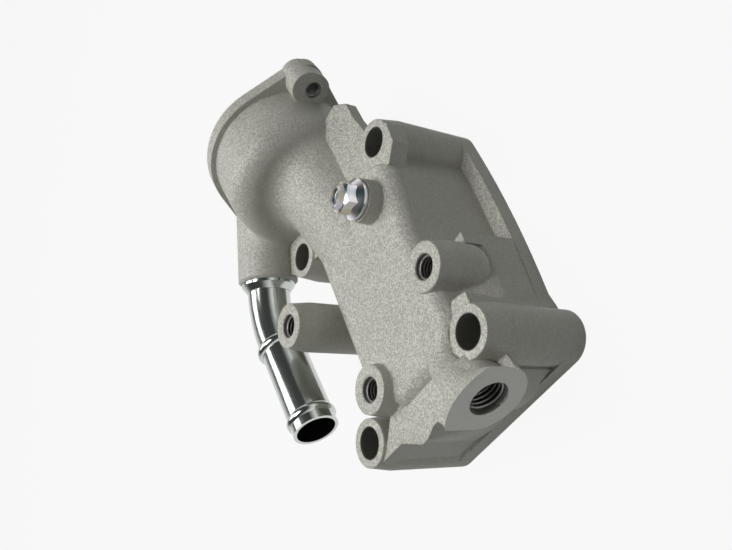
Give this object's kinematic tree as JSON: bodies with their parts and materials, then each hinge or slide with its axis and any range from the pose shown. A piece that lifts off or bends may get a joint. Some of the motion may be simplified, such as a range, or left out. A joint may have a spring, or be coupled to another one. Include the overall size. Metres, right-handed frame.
{
  "type": "thermostat housing",
  "caption": "Cast aluminium coolant outlet housing with a bolted seating flange, threaded bosses, an eared hose flange, a sensor port, a bleed screw and a bent steel heater pipe.",
  "frame": {"origin": "centre of the four through bolts on the seating face", "axes": "+Z away from the engine, +Y towards the hose chamber, +X to the side of the sensor port"},
  "size_m": [0.1049, 0.1587, 0.0723],
  "materials": {
    "casting": "sand cast and shot blasted",
    "plated_pipe": "bright zinc plate",
    "plated_screw": "clear zinc plate",
    "washer": "plain"
  },
  "bodies": {
    "root": {"housing": "casting", "heater_pipe": "plated_pipe", "bleed_bolt": "plated_screw", "bleed_washer": "washer"}
  },
  "joints": []
}
